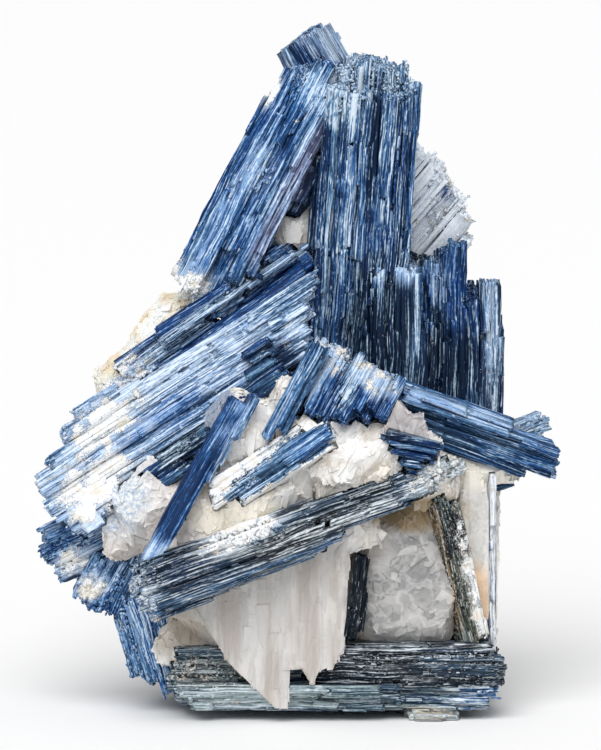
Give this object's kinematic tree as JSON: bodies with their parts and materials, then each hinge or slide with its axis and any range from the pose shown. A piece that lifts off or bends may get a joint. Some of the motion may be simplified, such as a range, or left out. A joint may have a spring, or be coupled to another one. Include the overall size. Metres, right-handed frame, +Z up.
{
  "type": "kyanite blade cluster",
  "caption": "Upright mineral specimen: bundles of flat striated blue kyanite blades crossing in a lump of milky quartz, standing on the flat underside of its lowest blades.",
  "frame": {"origin": "on the flat underside of the lowest blades, the face that the specimen rests on, near its middle", "axes": "+Z up from the resting face, -Y towards the front, the side with the long crossing blade, +X to the right as seen from the front"},
  "size_m": [0.1166, 0.0627, 0.152],
  "materials": {
    "blue_kyanite": "vitreous to pearly, royal blue with paler streaks along the blades",
    "dark_kyanite": "vitreous, blue-black with fine pale lines along the blades",
    "pale_kyanite": "pearly, pale blue and white streaks along the blades",
    "green_kyanite": "satin, grey-green and slate blue",
    "green_seam": "dull, dark green and brown with ochre stain",
    "quartz": "vitreous broken milky quartz",
    "feldspar": "dull cream, slightly stained"
  },
  "bodies": {
    "root": {"back_cross_blades": "pale_kyanite", "back_right_blades": "pale_kyanite", "back_short_blades": "dark_kyanite", "back_tall_blades": "blue_kyanite", "back_upper_blades": "dark_kyanite", "base_blades": "green_kyanite", "base_dark_blades": "dark_kyanite", "centre_block": "blue_kyanite", "dark_under_blade": "dark_kyanite", "dark_wedge_blades": "dark_kyanite", "edge_needle": "blue_kyanite", "feldspar_patch": "feldspar", "green_seam": "green_seam", "grey_stub_blades": "dark_kyanite", "inclusion_blade": "dark_kyanite", "left_chunk": "blue_kyanite", "left_column": "blue_kyanite", "left_fan_blades": "blue_kyanite", "left_low_chunk": "blue_kyanite", "long_cross_blade": "dark_kyanite", "narrow_blue_blade": "blue_kyanite", "pale_broad_blade": "pale_kyanite", "quartz_matrix": "quartz", "right_blade": "blue_kyanite", "right_row_blades": "dark_kyanite", "right_splinter": "blue_kyanite", "tall_centre_blades": "dark_kyanite", "thin_blue_blade": "blue_kyanite", "top_block": "blue_kyanite", "upper_left_blade": "blue_kyanite", "worn_blade": "blue_kyanite"}
  },
  "joints": []
}
